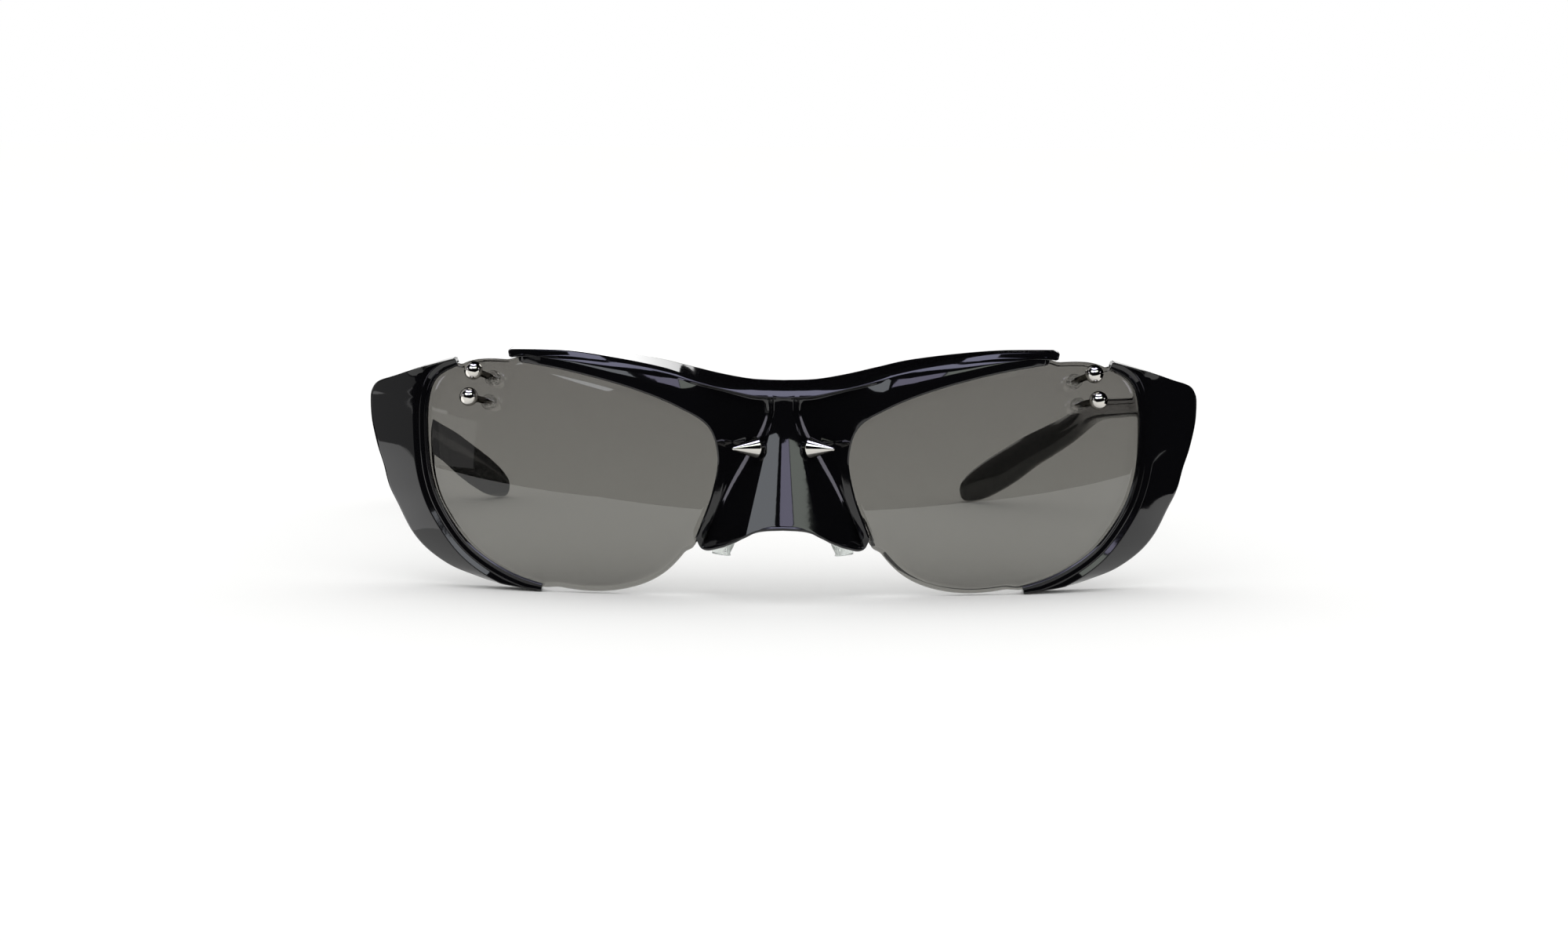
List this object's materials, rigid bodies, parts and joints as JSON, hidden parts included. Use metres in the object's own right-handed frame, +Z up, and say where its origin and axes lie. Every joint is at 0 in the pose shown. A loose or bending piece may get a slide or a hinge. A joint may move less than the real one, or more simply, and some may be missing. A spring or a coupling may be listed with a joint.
{
  "type": "sunglasses",
  "caption": "Wrap sunglasses with tinted lenses in a glossy brow-and-nose bridge, wide side wings, folding temples, ball studs on the lenses and small nose spikes.",
  "frame": {"origin": "on the surface that the glasses stand on, at the middle of the underside of the box round the open glasses", "axes": "+Z up, +Y from the lenses back along the temples, +X to the right as seen from in front of the lenses"},
  "size_m": [0.1564, 0.1606, 0.0436],
  "materials": {
    "frame": "polished black",
    "lens": "smoke tint",
    "polished_steel": "mirror polish",
    "hinge_steel": "satin",
    "clear_pad": "clear silicone",
    "clear_keeper": "clear"
  },
  "bodies": {
    "front": {"bridge": "frame", "left_lens": "lens", "right_lens": "lens", "left_wing": "frame", "right_wing": "frame", "left_hinge_front": "hinge_steel", "right_hinge_front": "hinge_steel", "left_hinge_screw": "hinge_steel", "right_hinge_screw": "hinge_steel", "left_wing_rivets": "hinge_steel", "right_wing_rivets": "hinge_steel", "left_nose_pad": "clear_pad", "right_nose_pad": "clear_pad", "left_spike": "polished_steel", "right_spike": "polished_steel", "left_upper_stud": "polished_steel", "right_upper_stud": "polished_steel", "left_lower_stud": "polished_steel", "right_lower_stud": "polished_steel", "left_upper_keeper": "clear_keeper", "right_upper_keeper": "clear_keeper", "left_lower_keeper": "clear_keeper", "right_lower_keeper": "clear_keeper"},
    "left_temple_arm": {"left_temple": "frame", "left_hinge_temple": "hinge_steel", "left_temple_rivets": "hinge_steel"},
    "right_temple_arm": {"right_temple": "frame", "right_hinge_temple": "hinge_steel", "right_temple_rivets": "hinge_steel"}
  },
  "joints": [
    {"name": "left_hinge", "type": "hinge", "parent": "front", "child": "left_temple_arm", "pos_m": [-0.06667, -0.04729, 0.03285], "axis": [0, 0, -1], "range_deg": [0, 87]},
    {"name": "right_hinge", "type": "hinge", "parent": "front", "child": "right_temple_arm", "pos_m": [0.07173, -0.04729, 0.03285], "axis": [0, 0, 1], "range_deg": [-10, 68]}
  ]
}
